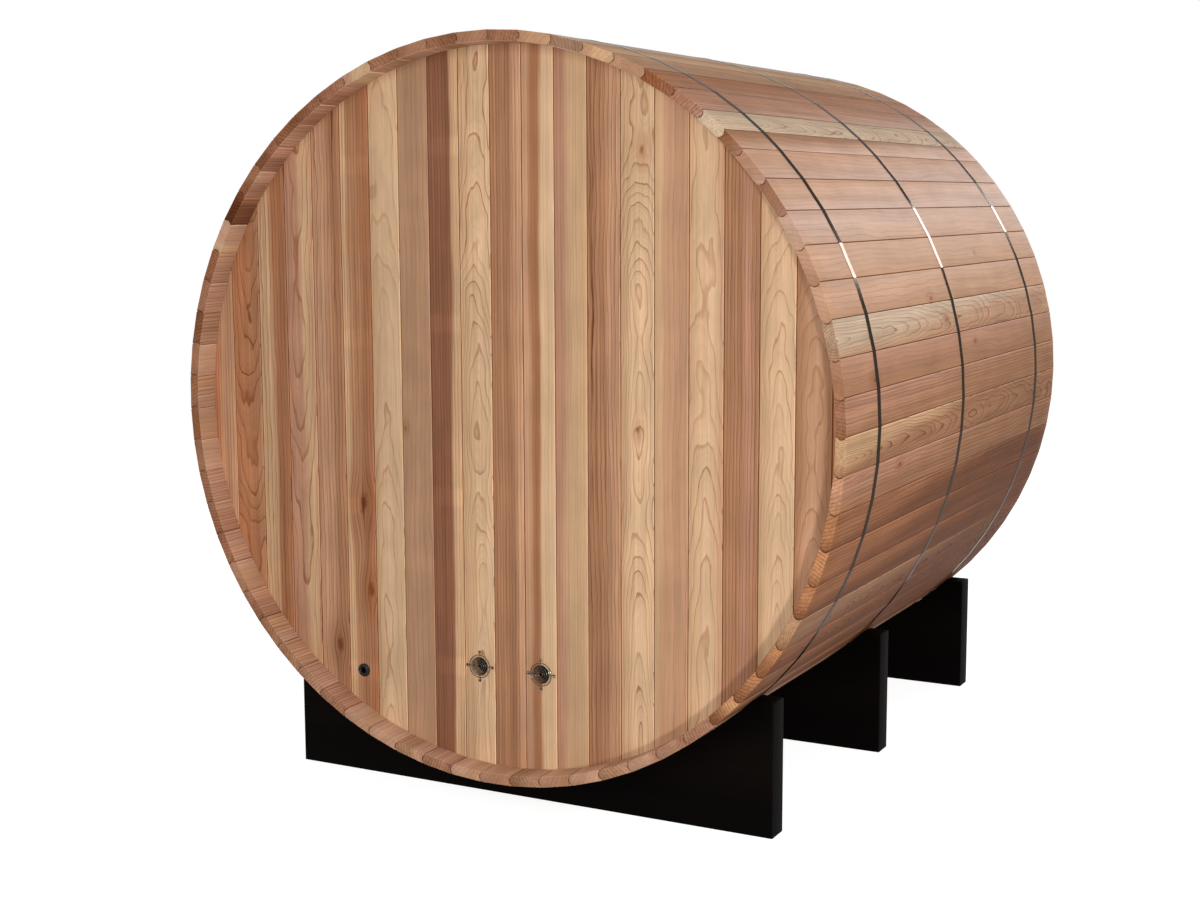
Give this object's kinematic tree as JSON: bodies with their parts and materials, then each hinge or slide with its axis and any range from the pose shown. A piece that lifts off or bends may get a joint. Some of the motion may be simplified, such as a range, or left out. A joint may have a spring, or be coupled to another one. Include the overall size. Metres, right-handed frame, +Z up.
{
  "type": "barrel sauna",
  "caption": "Round sauna cabin of flat-faced cedar staves in steel bands, on black timber cradles, with a vented boarded end and a boarded door at the other.",
  "frame": {"origin": "on the ground under the middle of the barrel", "axes": "+X to the right as seen from the vented end, +Y along the barrel from the vented end to the door end, +Z up"},
  "size_m": [1.8015, 1.8, 1.8789],
  "materials": {
    "stave_cedar": "planed",
    "wall_cedar": "planed",
    "door_cedar": "planed",
    "black_stained_timber": "stained",
    "stainless_band": "rolled",
    "chromed_wire": "bright",
    "black_plastic": "gloss"
  },
  "bodies": {
    "root": {"cable_gland": "black_plastic", "centre_board": "wall_cedar", "closing_staves": "stave_cedar", "door_boards": "door_cedar", "door_end_band": "stainless_band", "door_end_cradle": "black_stained_timber", "door_handle": "door_cedar", "door_head": "door_cedar", "door_hinges": "stainless_band", "door_jambs": "door_cedar", "door_ledges": "door_cedar", "door_sill": "door_cedar", "door_stops": "door_cedar", "door_wall_boards_over_door": "wall_cedar", "door_wall_boards_under_door": "wall_cedar", "door_wall_left_boards": "wall_cedar", "door_wall_right_boards": "wall_cedar", "gland_board": "wall_cedar", "left_vent_board": "wall_cedar", "left_vent_guard": "chromed_wire", "middle_band": "stainless_band", "middle_cradle": "black_stained_timber", "right_vent_board": "wall_cedar", "right_vent_guard": "chromed_wire", "staves_01": "stave_cedar", "staves_02": "stave_cedar", "staves_03": "stave_cedar", "staves_04": "stave_cedar", "staves_05": "stave_cedar", "staves_06": "stave_cedar", "staves_07": "stave_cedar", "staves_08": "stave_cedar", "staves_09": "stave_cedar", "staves_10": "stave_cedar", "staves_11": "stave_cedar", "staves_12": "stave_cedar", "staves_13": "stave_cedar", "tensioner_bolts": "stainless_band", "tensioner_lugs": "stainless_band", "vent_end_band": "stainless_band", "vent_end_cradle": "black_stained_timber", "vent_wall_left_boards": "wall_cedar", "vent_wall_middle_left_boards": "wall_cedar", "vent_wall_middle_right_boards": "wall_cedar", "vent_wall_right_boards": "wall_cedar"}
  },
  "joints": []
}
